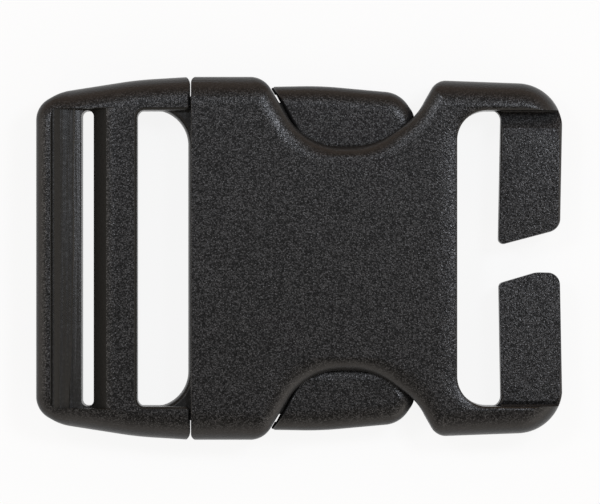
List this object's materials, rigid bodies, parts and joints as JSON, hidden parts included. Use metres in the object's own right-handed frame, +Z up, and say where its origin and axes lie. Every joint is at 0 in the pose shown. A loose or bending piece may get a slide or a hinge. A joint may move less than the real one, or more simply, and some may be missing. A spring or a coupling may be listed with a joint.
{
  "type": "side release buckle",
  "caption": "Black plastic side release buckle, shown fastened: a plug with a webbing adjuster and latch buttons, in a socket with finger windows and a split webbing bar.",
  "frame": {"origin": "bottom centre of the fastened buckle's bounding box, on the surface it lies on", "axes": "+X from the plug's adjuster end to the socket's split bar, +Y across the webbing, +Z up from the back to the front"},
  "size_m": [0.0914, 0.0632, 0.0126],
  "materials": {
    "plug_acetal": "matte black acetal with a fine spark-eroded texture",
    "socket_acetal": "matte black acetal with a fine spark-eroded texture"
  },
  "bodies": {
    "root": {"plug": "plug_acetal", "socket": "socket_acetal"}
  },
  "joints": []
}
